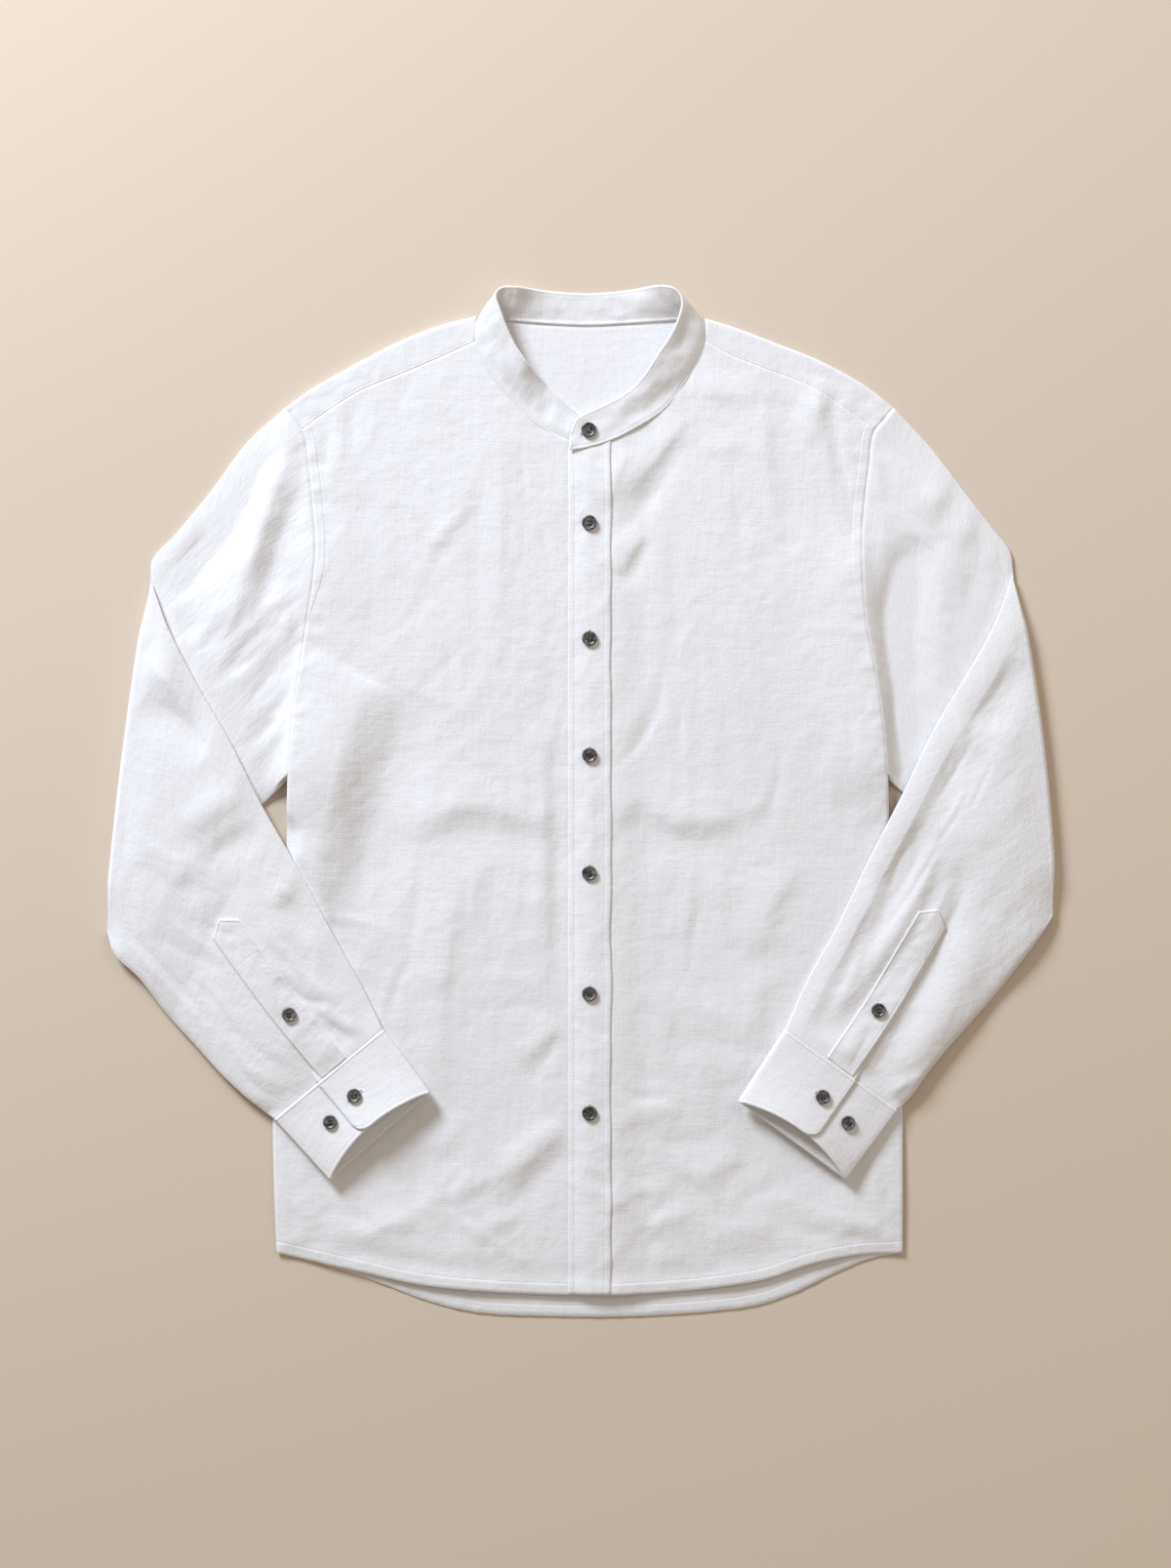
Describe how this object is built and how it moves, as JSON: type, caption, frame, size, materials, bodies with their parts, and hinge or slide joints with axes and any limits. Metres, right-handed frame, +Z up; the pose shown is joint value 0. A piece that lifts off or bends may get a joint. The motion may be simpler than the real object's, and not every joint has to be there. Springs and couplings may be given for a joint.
{
  "type": "mandarin collar shirt",
  "caption": "Long-sleeved linen shirt with a mandarin collar, buttoned and laid flat on its back, both sleeves folded at the elbow and the cuffs lying on the lower fronts.",
  "frame": {"origin": "middle of the laid-out shirt's bounding box, at the surface it lies on", "axes": "+Y from the hem to the collar, +Z up from the surface, +X to the wearer's left side"},
  "size_m": [0.7559, 0.822, 0.0249],
  "materials": {
    "white_linen": "matte plain weave",
    "dark_horn": "satin, horn look"
  },
  "bodies": {
    "root": {"back": "white_linen", "yoke": "white_linen", "front_right": "white_linen", "front_left": "white_linen", "front_placket": "white_linen", "collar_band": "white_linen", "sleeve_right": "white_linen", "sleeve_placket_right": "white_linen", "cuff_right": "white_linen", "sleeve_left": "white_linen", "sleeve_placket_left": "white_linen", "cuff_left": "white_linen", "button_collar": "dark_horn", "button_front_1": "dark_horn", "button_front_2": "dark_horn", "button_front_3": "dark_horn", "button_front_4": "dark_horn", "button_front_5": "dark_horn", "button_front_6": "dark_horn", "button_sleeve_right": "dark_horn", "button_cuff_right_over": "dark_horn", "button_cuff_right_under": "dark_horn", "button_sleeve_left": "dark_horn", "button_cuff_left_over": "dark_horn", "button_cuff_left_under": "dark_horn"}
  },
  "joints": []
}
